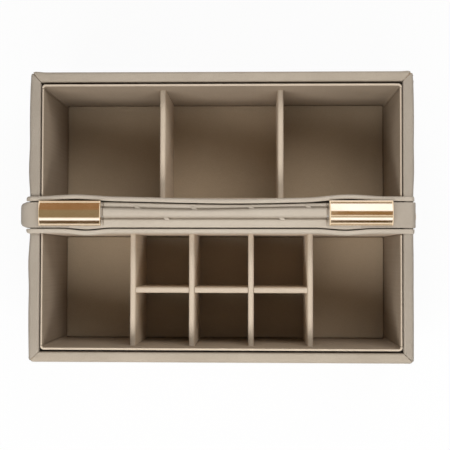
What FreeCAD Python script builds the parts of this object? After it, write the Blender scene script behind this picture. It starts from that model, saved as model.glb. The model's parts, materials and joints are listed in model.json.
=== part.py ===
import FreeCAD, Part
import os
from math import sin, sqrt, tan

# An open-topped vanity caddy: a board case wrapped in leatherette, with eleven compartments
# and a strap handle that lies in a recess along the middle and lifts straight up.
# Sizes are in millimetres. The origin is the middle of the underside, +Z is up, +X runs along
# the handle to the right and +Y points to the rear.

# Case, over the leatherette
box_length = 265.0
box_depth = 200.0
box_height = 100.0
corner_round = 3.0

# Wrapped walls
cover_thickness = 1.0
wall_board_thickness = 5.5
rim_round = 2.2
foot_chamfer = 0.8
turn_in = 18.0
turn_under = 9.0

# Base, from the table up
felt_thickness = 1.0
felt_inset = 3.0
filler_gap = 0.3
base_board_thickness = 5.0
pad_thickness = 2.3
pad_gap = 0.3

# Lining of the walls
liner_gap = 0.7
liner_thickness = 1.7
liner_drop = 1.5
liner_corner_round = 3.2
liner_edge_chamfer = 0.5

# Spine that carries the handle recess
spine_offset = 1.0
recess_width = 18.8
recess_depth = 16.0
spine_wall_thickness = 3.4
bed_thickness = 3.0
band_height = 2.6
band_chamfer = 0.6
band_tail_length = 12.0
band_tail_thickness = 1.0

# Dividers
divider_thickness = 4.0
divider_wrap = 0.8
divider_drop = 18.0
divider_round = 1.0
slot_pitch = 41.5
lap_clearance = 0.1

# Handle straps
handle_clearance = 0.3
strap_thickness = 2.2
strap_edge_chamfer = 0.7
strap_tip_round = 6.0
strap_tip_margin = 6.0
strap_foot_gap = 4.7

# Studs that guide the straps
stud_radius = 2.0
stud_head_radius = 4.0
stud_head_thickness = 1.6
stud_head_chamfer = 0.6
stud_pitch = 14.0
stud_drop = 28.0
stud_plate_thickness = 1.2
stud_plate_width = 12.0
stud_plate_margin = 7.0
stud_rivet_proud = 0.3
stud_hole_clearance = 0.05

# Grip
roll_width = 7.6
roll_height = 3.0
roll_round = 2.4
roll_offset = 1.2
roll_tuck = 4.0
grip_shift = -4.2
core_width = 5.0
core_thickness = 1.0
core_corner_round = 1.0

# Ferrules
ferrule_length = 41.0
ferrule_end_gap = 4.7
ferrule_width = 17.2
ferrule_height = 3.9
ferrule_side = 1.8
ferrule_round = 1.0
ferrule_wall = 0.8
ferrule_offset = 0.4
boss_radius = 2.3
rivet_radius = 1.5
rivet_head_radius = 3.0
rivet_head_thickness = 1.0
rivet_spacing = 24.0
rivet_depth = 2.4
rivet_clearance = 0.05

# Depths into the wall, counted from the outside of the case
board_face = cover_thickness
board_back = board_face + wall_board_thickness
turn_in_face = board_back + cover_thickness
liner_back = turn_in_face + liner_gap
liner_face = liner_back + liner_thickness

# Heights above the table
cover_bottom = felt_thickness
board_bottom = cover_bottom + cover_thickness
base_board_top = board_bottom + base_board_thickness
floor_top = base_board_top + pad_thickness
rim_top = box_height
board_top = rim_top - cover_thickness
turn_in_bottom = rim_top - turn_in
liner_top = rim_top - liner_drop
divider_top = rim_top - divider_drop
bed_top = rim_top - recess_depth
lap_height = (floor_top + divider_top) / 2

# Places in plan
half_length = box_length / 2
half_depth = box_depth / 2
inner_x = half_length - liner_face
inner_y = half_depth - liner_face
spine_end = half_length - turn_in_face
recess_rear = spine_offset + recess_width / 2
recess_front = spine_offset - recess_width / 2
spine_rear = recess_rear + spine_wall_thickness
spine_front = recess_front - spine_wall_thickness
rear_divider_x = (2 * inner_x + divider_thickness) / 6
cross_divider_y = (spine_front - inner_y) / 2

# Handle
strap_width = recess_width - 2 * handle_clearance
strap_bottom = rim_top + handle_clearance
strap_top = strap_bottom + strap_thickness
leg_inside = half_length + handle_clearance
leg_outside = leg_inside + strap_thickness
upper_stud = rim_top - stud_drop
lower_stud = upper_stud - stud_pitch
leg_bottom = strap_foot_gap
leg_slot_radius = stud_radius + handle_clearance
leg_slot_top = upper_stud + leg_slot_radius
leg_slot_bottom = leg_bottom + strap_tip_margin
lift_travel = lower_stud - leg_slot_radius - leg_slot_bottom
ferrule_centre = spine_end - ferrule_end_gap - ferrule_length / 2
grip_y = spine_offset + roll_offset
core_top = strap_top + core_thickness
rivet_top = strap_top + rivet_depth
ferrule_start = ferrule_centre - ferrule_length / 2
roll_end = ferrule_start + roll_tuck

# Longer than anything here, for cutting tools
far = 2 * (box_length + box_depth + box_height)


def along_x(u, v):
    """Places a profile point across X: u runs to the rear and v runs up."""
    return FreeCAD.Vector(0, u, v)


def along_y(u, v):
    """Places a profile point across Y: u runs to the right and v runs up."""
    return FreeCAD.Vector(u, 0, v)


def along_z(u, v):
    """Places a profile point in plan: u runs to the right and v runs to the rear."""
    return FreeCAD.Vector(u, v, 0)


def rounded_face(corners, place):
    """A flat face from corners (u, v, radius), each turned into a tangent arc of that radius."""
    runs = []
    count = len(corners)
    for index in range(count):
        u, v, radius = corners[index]
        here = place(u, v)
        before = place(*corners[index - 1][:2])
        after = place(*corners[(index + 1) % count][:2])
        to_before = (before - here).normalize()
        to_after = (after - here).normalize()
        if radius <= 0:
            runs.append((here, here, here))
            continue
        bisector = (to_before + to_after).normalize()
        half_angle = to_before.getAngle(to_after) / 2
        reach = radius / tan(half_angle)
        centre_distance = radius / sin(half_angle)
        start = here + to_before * reach
        finish = here + to_after * reach
        middle = here + bisector * (centre_distance - radius)
        runs.append((start, middle, finish))
    edges = []
    for index in range(count):
        start, middle, finish = runs[index]
        next_start = runs[(index + 1) % count][0]
        if start != finish:
            edges.append(Part.Arc(start, middle, finish).toShape())
        if finish.distanceToPoint(next_start) > 1e-6:
            edges.append(Part.LineSegment(finish, next_start).toShape())
    return Part.Face(Part.Wire(edges))


def block(x_low, x_high, y_low, y_high, z_low, z_high, radius=0):
    """A box whose upright edges are rounded by the radius."""
    corners = [
        (x_low, y_low, radius),
        (x_high, y_low, radius),
        (x_high, y_high, radius),
        (x_low, y_high, radius),
    ]
    face = rounded_face(corners, along_z)
    face.translate(FreeCAD.Vector(0, 0, z_low))
    return face.extrude(FreeCAD.Vector(0, 0, z_high - z_low))


def case_block(inset, z_low, z_high, radius=0):
    """A block that follows the outline of the case, set in from its outside."""
    x = half_length - inset
    y = half_depth - inset
    return block(-x, x, -y, y, z_low, z_high, radius)


def level_edges(shape, z):
    """The edges that lie in the horizontal plane at a height."""
    flat = []
    for edge in shape.Edges:
        box = edge.BoundBox
        if abs(box.ZMin - z) < 1e-4 and abs(box.ZMax - z) < 1e-4:
            flat.append(edge)
    return flat


def inner_edges(edges, inset):
    """Of some edges, those that lie no further out than an inset from the case's outside."""
    x = half_length - inset + 1e-4
    y = half_depth - inset + 1e-4
    kept = []
    for edge in edges:
        box = edge.BoundBox
        if box.XMax < x and box.XMin > -x and box.YMax < y and box.YMin > -y:
            kept.append(edge)
    return kept


def edges_along(shape, axis, z):
    """The straight edges that run along X or Y at a height."""
    kept = []
    for edge in level_edges(shape, z):
        box = edge.BoundBox
        length = box.XLength if axis == "x" else box.YLength
        across = box.YLength if axis == "x" else box.XLength
        if across < 1e-4 and length > 1e-4:
            kept.append(edge)
    return kept


def mirrored(shape):
    """The same shape on the other side of the middle, left for right."""
    return shape.mirror(FreeCAD.Vector(0, 0, 0), FreeCAD.Vector(1, 0, 0))


def pin(x_low, x_high, y, z, radius):
    """A round bar along X."""
    base = FreeCAD.Vector(x_low, y, z)
    return Part.makeCylinder(radius, x_high - x_low, base, FreeCAD.Vector(1, 0, 0))


def post(x, y, z_low, z_high, radius):
    """A round bar along Z."""
    return Part.makeCylinder(radius, z_high - z_low, FreeCAD.Vector(x, y, z_low))


def board_ring():
    """The four wall boards as one ring, eased where the leatherette rolls over them.
    The chamfer keeps the skin as thick in the middle of the roll as on the flat."""
    easing = (rim_round - cover_thickness) * (2 - sqrt(2))
    outside = case_block(board_face, board_bottom, board_top, corner_round - cover_thickness)
    outside = outside.makeChamfer(easing, level_edges(outside, board_top))
    ring = outside.cut(case_block(board_back, board_bottom, far))
    rim = inner_edges(level_edges(ring, board_top), board_back)
    return ring.makeChamfer(easing, rim)


def cover_ring():
    """The leatherette round the boards: over the rim, down inside, and under the foot."""
    ring = case_block(0, cover_bottom, rim_top, corner_round)
    ring = ring.makeFillet(rim_round, level_edges(ring, rim_top))
    ring = ring.makeChamfer(foot_chamfer, level_edges(ring, cover_bottom))
    ring = ring.cut(case_block(turn_in_face, turn_in_bottom, far))
    rim = inner_edges(level_edges(ring, rim_top), turn_in_face)
    ring = ring.makeFillet(rim_round, rim)
    ring = ring.cut(board_ring())
    ring = ring.cut(case_block(board_back, board_bottom, turn_in_bottom))
    return ring.cut(case_block(turn_under, -far, board_bottom))


def wall_wedge(side):
    """The space of one wall between the two mitres at its ends."""
    reach = board_back + turn_under + turn_in_face
    x_out = half_length + cover_thickness
    y_out = half_depth + cover_thickness
    x_in = half_length - reach
    y_in = half_depth - reach
    if side == "front":
        corners = [(-x_out, -y_out), (x_out, -y_out), (x_in, -y_in), (-x_in, -y_in)]
    elif side == "rear":
        corners = [(x_out, y_out), (-x_out, y_out), (-x_in, y_in), (x_in, y_in)]
    elif side == "left":
        corners = [(-x_out, y_out), (-x_out, -y_out), (-x_in, -y_in), (-x_in, y_in)]
    else:
        corners = [(x_out, -y_out), (x_out, y_out), (x_in, y_in), (x_in, -y_in)]
    face = rounded_face([(x, y, 0) for x, y in corners], along_z)
    return face.extrude(FreeCAD.Vector(0, 0, far))


def stud_holes(side):
    """The holes for the two studs through one end wall, on the right (1) or the left (-1)."""
    radius = stud_radius + stud_hole_clearance
    holes = []
    for height in (upper_stud, lower_stud):
        x_low = min(0, side * far)
        holes.append(pin(x_low, x_low + far, spine_offset, height, radius))
    return holes


def wall_boards():
    ring = board_ring()
    split = half_length - board_back
    middle = block(-split, split, -far, far, 0, far)
    right = ring.common(block(split, far, -far, far, 0, far)).cut(stud_holes(1))
    left = ring.common(block(-far, -split, -far, far, 0, far)).cut(stud_holes(-1))
    ends = ring.common(middle)
    return {
        "left_wall_board": left,
        "right_wall_board": right,
        "front_wall_board": ends.common(block(-far, far, -far, 0, 0, far)),
        "rear_wall_board": ends.common(block(-far, far, 0, far, 0, far)),
    }


def wall_covers():
    ring = cover_ring()
    covers = {}
    for side in ("front", "rear", "left", "right"):
        covers[side + "_wall_cover"] = ring.common(wall_wedge(side))
    covers["left_wall_cover"] = covers["left_wall_cover"].cut(stud_holes(-1))
    covers["right_wall_cover"] = covers["right_wall_cover"].cut(stud_holes(1))
    return covers


def base():
    felt_corner = max(corner_round, felt_inset) / 2
    return {
        "base_felt": case_block(felt_inset, 0, felt_thickness, felt_corner),
        "base_filler": case_block(turn_under + filler_gap, cover_bottom, board_bottom),
        "base_board": case_block(board_back, board_bottom, base_board_top),
    }


def liners():
    """The lining panels. The front and rear ones carry the rounded corners of their bay."""
    inner_round = liner_corner_round - liner_thickness
    ring = case_block(liner_back, base_board_top, liner_top, liner_corner_round)
    ring = ring.cut(case_block(liner_face, 0, far, inner_round))
    ring = ring.makeChamfer(liner_edge_chamfer, level_edges(ring, liner_top))
    corner_y = half_depth - liner_back - liner_corner_round
    panels = {}
    panels["rear_liner_back"] = ring.common(block(-far, far, corner_y, far, 0, far))
    panels["front_liner_front"] = ring.common(block(-far, far, -far, -corner_y, 0, far))
    for side, x_low, x_high in (("left", -far, 0), ("right", 0, far)):
        rear = block(x_low, x_high, spine_rear, corner_y, 0, far)
        front = block(x_low, x_high, -corner_y, spine_front, 0, far)
        panels["rear_liner_" + side] = ring.common(rear)
        panels["front_liner_" + side] = ring.common(front)
    return panels


def floor_pads():
    x = inner_x - pad_gap
    y = inner_y - pad_gap
    corner = liner_corner_round - liner_thickness
    rear = block(-x, x, spine_rear + pad_gap, y, base_board_top, floor_top, corner)
    front = block(-x, x, -y, spine_front - pad_gap, base_board_top, floor_top, corner)
    return {"rear_floor_pad": rear, "front_floor_pad": front}


def spine_band(y_low):
    """A leatherette band on top of a spine wall, over the rim and down both ends."""
    end = half_length
    tail = end + band_tail_thickness
    top = rim_top + band_height
    foot = rim_top - band_tail_length
    outer_round = rim_round + band_tail_thickness
    corners = [
        (-end, foot, 0),
        (-end, rim_top, rim_round),
        (end, rim_top, rim_round),
        (end, foot, 0),
        (tail, foot, 0),
        (tail, top, outer_round),
        (-tail, top, outer_round),
        (-tail, foot, 0),
    ]
    face = rounded_face(corners, along_y)
    face.translate(FreeCAD.Vector(0, y_low, 0))
    band = face.extrude(FreeCAD.Vector(0, spine_wall_thickness, 0))
    return band.makeChamfer(band_chamfer, edges_along(band, "x", top))


def spine():
    rear = block(-spine_end, spine_end, recess_rear, spine_rear, base_board_top, rim_top)
    front = block(-spine_end, spine_end, spine_front, recess_front, base_board_top, rim_top)
    bed_bottom = bed_top - bed_thickness
    bed = block(-spine_end, spine_end, recess_front, recess_rear, bed_bottom, bed_top)
    return {
        "spine_rear_wall": rear,
        "spine_front_wall": front,
        "handle_bed": bed,
        "spine_rear_band": spine_band(recess_rear),
        "spine_front_band": spine_band(spine_front),
    }


def divider(x_low, x_high, y_low, y_high, notches, axis):
    """A wrapped divider: a board inside a folded wrap that is open underneath."""
    outside = block(x_low, x_high, y_low, y_high, floor_top, divider_top)
    outside = outside.makeFillet(divider_round, edges_along(outside, axis, divider_top))
    inside = block(
        x_low + divider_wrap,
        x_high - divider_wrap,
        y_low + divider_wrap,
        y_high - divider_wrap,
        floor_top,
        divider_top - divider_wrap,
    )
    wrap = outside.cut(inside)
    if notches:
        wrap = wrap.cut(notches)
        inside = inside.cut(notches)
    return wrap, inside


def dividers():
    """Two rear dividers, four front ones, and a cross divider half-lapped into two of them."""
    half = divider_thickness / 2
    notch = half + lap_clearance
    low_notch = block(
        -far, far, cross_divider_y - notch, cross_divider_y + notch, 0, lap_height + lap_clearance
    )
    high_notches = []
    pieces = {}

    def add(name, made):
        pieces[name + "_wrap"], pieces[name + "_board"] = made

    for side, x in (("left", -rear_divider_x), ("right", rear_divider_x)):
        made = divider(x - half, x + half, spine_rear, inner_y, [], "y")
        add("rear_divider_" + side, made)
    front_places = {
        "outer_left": -1.5 * slot_pitch,
        "inner_left": -0.5 * slot_pitch,
        "inner_right": 0.5 * slot_pitch,
        "outer_right": 1.5 * slot_pitch,
    }
    for side, x in front_places.items():
        crossed = side.startswith("inner")
        notches = [low_notch] if crossed else []
        made = divider(x - half, x + half, -inner_y, spine_front, notches, "y")
        add("front_divider_" + side, made)
        if crossed:
            lap_bottom = lap_height - lap_clearance
            high_notches.append(block(x - notch, x + notch, -far, 0, lap_bottom, far))
    end = front_places["outer_right"] - half
    y_low = cross_divider_y - half
    y_high = cross_divider_y + half
    add("cross_divider", divider(-end, end, y_low, y_high, high_notches, "x"))
    return pieces


def stud(side, height):
    """A stud from the plate inside the wall to its head outside the strap."""
    inner = half_length - board_back - stud_plate_thickness - stud_rivet_proud
    head_start = leg_outside + handle_clearance
    head_end = head_start + stud_head_thickness
    shank = pin(inner, head_start, spine_offset, height, stud_radius)
    head = pin(head_start, head_end, spine_offset, height, stud_head_radius)
    rim = [edge for edge in head.Edges if edge.BoundBox.XMin > head_end - 1e-4]
    whole = shank.fuse(head.makeChamfer(stud_head_chamfer, rim)).removeSplitter()
    return whole if side > 0 else mirrored(whole)


def stud_plate(side):
    """The plate that the studs are riveted to, against the inside of the end board."""
    outer = half_length - board_back
    plate = block(
        outer - stud_plate_thickness,
        outer,
        spine_offset - stud_plate_width / 2,
        spine_offset + stud_plate_width / 2,
        lower_stud - stud_plate_margin,
        upper_stud + stud_plate_margin,
    )
    plate = plate.cut(stud_holes(1))
    return plate if side > 0 else mirrored(plate)


def studs():
    pieces = {}
    for name, side in (("left", -1), ("right", 1)):
        pair = [stud(side, upper_stud), stud(side, lower_stud)]
        pieces[name + "_strap_studs"] = Part.makeCompound(pair)
        pieces[name + "_stud_plate"] = stud_plate(side)
    return pieces


def strap_end(shift):
    """The right end of the strap: from under the ferrule, over the rim, down to its tip.

    The shift is how far to the right its ferrule sits from its usual place.
    """
    inner_round = rim_round + handle_clearance
    outer_round = inner_round + strap_thickness
    corners = [
        (ferrule_centre + shift, strap_bottom, 0),
        (leg_inside, strap_bottom, inner_round),
        (leg_inside, leg_bottom, 0),
        (leg_outside, leg_bottom, 0),
        (leg_outside, strap_top, outer_round),
        (ferrule_centre + shift, strap_top, 0),
    ]
    face = rounded_face(corners, along_y)
    face.translate(FreeCAD.Vector(0, spine_offset - strap_width / 2, 0))
    strap = face.extrude(FreeCAD.Vector(0, strap_width, 0))
    tip = []
    for edge in strap.Edges:
        box = edge.BoundBox
        if box.ZMax < leg_bottom + 1e-4 and box.YLength < 1e-4:
            tip.append(edge)
    strap = strap.makeFillet(strap_tip_round, tip)
    outline = []
    for edge in strap.Edges:
        box = edge.BoundBox
        on_top = box.ZMin > strap_top - outer_round - 1e-4 and box.ZMax > strap_top - 1e-4
        on_leg = box.XMin > leg_outside - 1e-4
        across = box.YLength > strap_width - 1e-4
        if (on_top or on_leg) and not across:
            outline.append(edge)
    strap = strap.makeChamfer(strap_edge_chamfer, outline)
    slot_sides = (spine_offset - leg_slot_radius, spine_offset + leg_slot_radius)
    slot_corners = [
        (slot_sides[0], leg_slot_bottom, leg_slot_radius),
        (slot_sides[1], leg_slot_bottom, leg_slot_radius),
        (slot_sides[1], leg_slot_top, leg_slot_radius),
        (slot_sides[0], leg_slot_top, leg_slot_radius),
    ]
    leg_slot = rounded_face(slot_corners, along_x).extrude(FreeCAD.Vector(far, 0, 0))
    strap = strap.cut(leg_slot)
    return strap.cut(rivet_holes(1, shift))


def rivet_places():
    """Where the rivets stand, on the right: the inner one in the grip, the outer in the end."""
    return (ferrule_centre - rivet_spacing / 2, ferrule_centre + rivet_spacing / 2)


def rivet_holes(side, shift=0):
    radius = rivet_radius + rivet_clearance
    return [post(side * x + shift, grip_y, 0, rivet_top, radius) for x in rivet_places()]


def rivets():
    pieces = []
    for side in (-1, 1):
        for x in rivet_places():
            shank = post(side * x, grip_y, strap_bottom, rivet_top, rivet_radius)
            head_bottom = strap_bottom - rivet_head_thickness
            head = post(side * x, grip_y, head_bottom, strap_bottom, rivet_head_radius)
            pieces.append(shank.fuse(head).removeSplitter())
    return Part.makeCompound(pieces)


def ferrule_face(width, side_height, height, edge_round):
    """The section of a ferrule: upright sides under a shallow crown."""
    y = width / 2
    left_foot = FreeCAD.Vector(0, -y, 0)
    left_side = FreeCAD.Vector(0, -y, side_height)
    crown = FreeCAD.Vector(0, 0, height)
    right_side = FreeCAD.Vector(0, y, side_height)
    right_foot = FreeCAD.Vector(0, y, 0)
    edges = [
        Part.LineSegment(left_foot, left_side).toShape(),
        Part.Arc(left_side, crown, right_side).toShape(),
        Part.LineSegment(right_side, right_foot).toShape(),
        Part.LineSegment(right_foot, left_foot).toShape(),
    ]
    bar = Part.Face(Part.Wire(edges)).extrude(FreeCAD.Vector(ferrule_length, 0, 0))
    shoulders = []
    for edge in bar.Edges:
        box = edge.BoundBox
        if box.XLength > ferrule_length / 2 and abs(box.ZMin - side_height) < 1e-4:
            shoulders.append(edge)
    return bar.makeFillet(edge_round, shoulders)


def roll(x_low, x_high):
    """The half-round padded roll on top of the grip."""
    corners = [
        (grip_y - roll_width / 2, strap_top, 0),
        (grip_y + roll_width / 2, strap_top, 0),
        (grip_y + roll_width / 2, strap_top + roll_height, roll_round),
        (grip_y - roll_width / 2, strap_top + roll_height, roll_round),
    ]
    face = rounded_face(corners, along_x)
    face.translate(FreeCAD.Vector(x_low, 0, 0))
    return face.extrude(FreeCAD.Vector(x_high - x_low, 0, 0))


def ferrule():
    """The right ferrule: a crowned metal cover with two bosses for its rivets."""
    place = FreeCAD.Vector(ferrule_start, spine_offset + ferrule_offset, strap_top)
    outside = ferrule_face(ferrule_width, ferrule_side, ferrule_height, ferrule_round)
    outside.translate(place)
    inside = ferrule_face(
        ferrule_width - 2 * ferrule_wall,
        ferrule_side,
        ferrule_height - ferrule_wall,
        ferrule_round - ferrule_wall / 2,
    )
    inside.translate(place)
    finish = ferrule_start + ferrule_length
    room = block(ferrule_start + ferrule_wall, finish - ferrule_wall, -far, far, 0, far)
    cover = outside.cut(inside.common(room))
    bosses = [post(x, grip_y, strap_top, far, boss_radius) for x in rivet_places()]
    for boss in bosses:
        cover = cover.fuse(boss.common(outside))
    cover = cover.cut(rivet_holes(1))
    return cover.cut(roll(0, roll_end))


def handle_core():
    """The stiff strip under the roll, which ends with it inside the ferrules."""
    y_low = grip_y - core_width / 2
    y_high = grip_y + core_width / 2
    return block(-roll_end, roll_end, y_low, y_high, strap_top, core_top, core_corner_round)


def handle():
    """The grip is drawn about the middle, then moved to where the strap's play lets it lie."""
    y_low = spine_offset - strap_width / 2
    grip = block(
        -ferrule_centre, ferrule_centre, y_low, y_low + strap_width, strap_bottom, strap_top
    )
    grip = grip.makeChamfer(strap_edge_chamfer, edges_along(grip, "x", strap_top))
    core = handle_core()
    right_ferrule = ferrule()
    pieces = {
        "grip_strap": grip.cut(rivet_holes(1) + rivet_holes(-1)),
        "grip_roll": roll(-roll_end, roll_end).cut(core),
        "handle_core": core,
        "right_ferrule": right_ferrule,
        "left_ferrule": mirrored(right_ferrule),
        "ferrule_rivets": rivets(),
    }
    for piece in pieces.values():
        piece.translate(FreeCAD.Vector(grip_shift, 0, 0))
    pieces["right_strap"] = strap_end(grip_shift)
    pieces["left_strap"] = mirrored(strap_end(-grip_shift))
    return pieces


os.makedirs("parts", exist_ok=True)
builders = (wall_boards, wall_covers, base, liners, floor_pads, spine, dividers, studs, handle)
for builder in builders:
    for node, shape in builder().items():
        shape.exportStep("parts/" + node + ".step")
        box = shape.BoundBox
        print(node, len(shape.Solids), shape.isValid(), round(shape.Volume, 1), box)
print("The handle lifts by", round(lift_travel, 3), "mm.")
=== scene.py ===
# %% [markdown]
# # A leatherette vanity caddy
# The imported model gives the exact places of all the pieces. This notebook dresses it: leatherette
# that rolls over the rim, suede linings, a strap handle and two polished ferrules.
# Each step says what a piece is on the real object and how it is modelled.

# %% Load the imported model
import bmesh
import bpy
import json
import math
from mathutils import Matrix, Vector


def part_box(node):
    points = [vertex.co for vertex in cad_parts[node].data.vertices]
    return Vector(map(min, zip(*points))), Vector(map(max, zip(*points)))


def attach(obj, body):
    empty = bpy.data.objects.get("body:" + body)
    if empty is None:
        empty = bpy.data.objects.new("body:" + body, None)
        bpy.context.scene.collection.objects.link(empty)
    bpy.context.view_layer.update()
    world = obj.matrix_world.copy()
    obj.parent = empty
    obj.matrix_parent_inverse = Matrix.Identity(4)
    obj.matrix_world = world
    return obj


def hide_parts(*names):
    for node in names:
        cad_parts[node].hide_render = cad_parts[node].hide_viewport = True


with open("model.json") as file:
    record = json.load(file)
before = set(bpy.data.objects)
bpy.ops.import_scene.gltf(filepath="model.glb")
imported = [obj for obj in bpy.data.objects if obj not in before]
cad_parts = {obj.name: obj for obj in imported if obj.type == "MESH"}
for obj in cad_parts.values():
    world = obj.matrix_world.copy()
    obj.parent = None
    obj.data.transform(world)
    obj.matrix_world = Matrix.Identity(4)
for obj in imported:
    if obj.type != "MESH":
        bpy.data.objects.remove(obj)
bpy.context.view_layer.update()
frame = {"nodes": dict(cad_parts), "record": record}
MM = 0.001
print("packed nodes:", len(frame["nodes"]))

# %% [markdown]
# ## Helpers
# All lengths below are in millimetres, and Blender works in metres, so the helpers convert.
# Operators act on whatever is selected. Each helper therefore starts from an empty selection.


# %% Helpers for starting and finishing a piece
def corners(node):
    """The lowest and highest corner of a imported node, in millimetres."""
    low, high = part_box(node)
    return low / MM, high / MM


def only(piece):
    """Selects one object and nothing else."""
    bpy.ops.object.select_all(action="DESELECT")
    piece.hide_set(False)
    piece.select_set(True)
    bpy.context.view_layer.objects.active = piece


def settle(piece):
    """Puts an object's place, turn and size into its mesh, so that it sits at the origin."""
    only(piece)
    bpy.ops.object.transform_apply(location=True, rotation=True, scale=True)


def named(name):
    """Names the new active object and its mesh."""
    piece = bpy.context.object
    piece.name = name
    piece.data.name = name
    settle(piece)
    return piece


def new_block(name, low, high):
    """A cube primitive that fills the space between two corners."""
    low, high = Vector(low), Vector(high)
    bpy.ops.object.select_all(action="DESELECT")
    bpy.ops.mesh.primitive_cube_add(size=1, location=(low + high) / 2 * MM, scale=(high - low) * MM)
    return named(name)


def new_bar(name, radius, low_x, high_x, y, z, vertices=48):
    """A cylinder primitive that lies along X."""
    bpy.ops.object.select_all(action="DESELECT")
    bpy.ops.mesh.primitive_cylinder_add(
        vertices=vertices,
        radius=radius * MM,
        depth=(high_x - low_x) * MM,
        location=((low_x + high_x) / 2 * MM, y * MM, z * MM),
        rotation=(0, math.pi / 2, 0),
    )
    return named(name)


def copy_of(piece, name):
    """A copy with its own mesh."""
    twin = piece.copy()
    twin.data = piece.data.copy()
    twin.name = name
    twin.data.name = name
    bpy.context.scene.collection.objects.link(twin)
    return twin


def unite(first, *others):
    """Joins other pieces into the first one."""
    only(first)
    for piece in others:
        piece.select_set(True)
    bpy.ops.object.join()


def modify(piece, kind, **values):
    """Adds a modifier, sets it, and applies it."""
    only(piece)
    modifier = piece.modifiers.new(kind.title(), kind)
    for key, value in values.items():
        setattr(modifier, key, value)
    bpy.ops.object.modifier_apply(modifier=modifier.name)


def soften(piece, width, segments, angle=40):
    """Rounds every edge sharper than an angle."""
    modify(
        piece, "BEVEL", width=width * MM, segments=segments, limit_method="ANGLE",
        angle_limit=math.radians(angle), use_clamp_overlap=True,
    )


def smooth(piece, angle=35):
    only(piece)
    bpy.ops.object.shade_smooth_by_angle(angle=math.radians(angle))


# %% Helpers for edit mode
def edit(piece):
    only(piece)
    bpy.ops.object.mode_set(mode="EDIT")


def done():
    bpy.ops.object.mode_set(mode="OBJECT")


def pick(kind, test):
    """Selects vertices, edges or faces whose middle (in mm) and direction pass a test."""
    piece = bpy.context.edit_object
    bpy.ops.mesh.select_mode(type=kind)
    bpy.ops.mesh.select_all(action="DESELECT")
    mesh = bmesh.from_edit_mesh(piece.data)
    if kind == "VERT":
        rows = [(part, part.co, part.normal) for part in mesh.verts]
    elif kind == "EDGE":
        rows = [
            (part, (part.verts[0].co + part.verts[1].co) / 2, part.verts[1].co - part.verts[0].co)
            for part in mesh.edges
        ]
    else:
        rows = [(part, part.calc_center_median(), part.normal) for part in mesh.faces]
    for part, middle, way in rows:
        if test(middle / MM, way.normalized()):
            part.select_set(True)
    mesh.select_flush_mode()
    bmesh.update_edit_mesh(piece.data)


def runs_along(axis):
    """A test for edges that run along an axis."""
    return lambda middle, way: abs(way[axis]) > 0.99


def bevel(width, segments):
    bpy.ops.mesh.bevel(offset=width * MM, offset_type="OFFSET", segments=segments)


def inset(thickness):
    bpy.ops.mesh.inset(thickness=thickness * MM)


def extrude(x=0, y=0, z=0):
    """Extrudes the selected faces and moves the new ones."""
    bpy.ops.mesh.extrude_region_move(TRANSFORM_OT_translate={"value": (x * MM, y * MM, z * MM)})


def slice_at(axis, places):
    """Adds a loop of edges at each place along an axis."""
    for place in places:
        point, normal = [0, 0, 0], [0, 0, 0]
        point[axis] = place * MM
        normal[axis] = 1
        bpy.ops.mesh.select_all(action="SELECT")
        bpy.ops.mesh.bisect(plane_co=point, plane_no=normal)


def keep_behind(point, normal):
    """Cuts the mesh by a plane, keeps the part behind it and closes the cut."""
    bpy.ops.mesh.select_all(action="SELECT")
    bpy.ops.mesh.bisect(
        plane_co=Vector(point) * MM, plane_no=normal, use_fill=True, clear_outer=True
    )


def shift(x=0, y=0, z=0, reach=0):
    """Moves the selection. With a reach, what lies near follows softly."""
    bpy.ops.transform.translate(
        value=(x * MM, y * MM, z * MM),
        use_proportional_edit=reach > 0,
        proportional_edit_falloff="SMOOTH",
        proportional_size=max(reach, 1) * MM,
    )


def resize(x=1, y=1, z=1, about=(0, 0, 0), reach=0):
    """Scales the selection about a point. With a reach, what lies near follows softly."""
    bpy.ops.transform.resize(
        value=(x, y, z),
        center_override=Vector(about) * MM,
        use_proportional_edit=reach > 0,
        proportional_edit_falloff="SMOOTH",
        proportional_size=max(reach, 1) * MM,
    )


def spread(low, high, count):
    """Evenly spaced places between two ends, without the ends."""
    return [low + (high - low) * (index + 1) / (count + 1) for index in range(count)]


# %% [markdown]
# ## Camera
# The photograph looks straight down, from a little in front and to the right. The place and lens
# were worked out from the case's rim, its floor and its dividers.

# %% Camera
FOCAL_PIXELS = 1012.9
FRAME_PIXELS = 450
camera_data = bpy.data.cameras.new("camera")
camera = bpy.data.objects.new("camera", camera_data)
bpy.context.scene.collection.objects.link(camera)
bpy.context.scene.camera = camera
camera.location = (0.0241, -0.0279, 0.7928)
camera.rotation_euler = (0.0319, 0.0303, 0.0021)
camera_data.lens = camera_data.sensor_width * FOCAL_PIXELS / FRAME_PIXELS
print("lens:", round(camera_data.lens, 1), "mm")

# %% [markdown]
# ## Light and floor
# Two soft boxes hang close over the case, one in front and one behind. The walls shade the foot
# of each bay on the side of its lamp, so the floors brighten towards the other side. A weak sky
# fills in. It shows white to the camera and to reflections, and the floor keeps a faint shadow.


# %% Soft boxes
def soft_box(name, place, aim, width, depth, power):
    data = bpy.data.lights.new(name, "AREA")
    data.shape = "RECTANGLE"
    data.size, data.size_y = width, depth
    data.energy = power
    lamp = bpy.data.objects.new(name, data)
    bpy.context.scene.collection.objects.link(lamp)
    lamp.location = place
    lamp.rotation_euler = (Vector(aim) - Vector(place)).to_track_quat("-Z", "Y").to_euler()
    lamp.visible_glossy = False


# Places and sizes of the lamps are in metres.
CASE_MIDDLE = (0, 0, 0.08)
soft_box("front_box", (-0.05, -0.30, 0.45), CASE_MIDDLE, 0.60, 0.20, 2.5)
soft_box("rear_box", (0.12, 0.30, 0.45), CASE_MIDDLE, 0.50, 0.20, 1.45)


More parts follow.
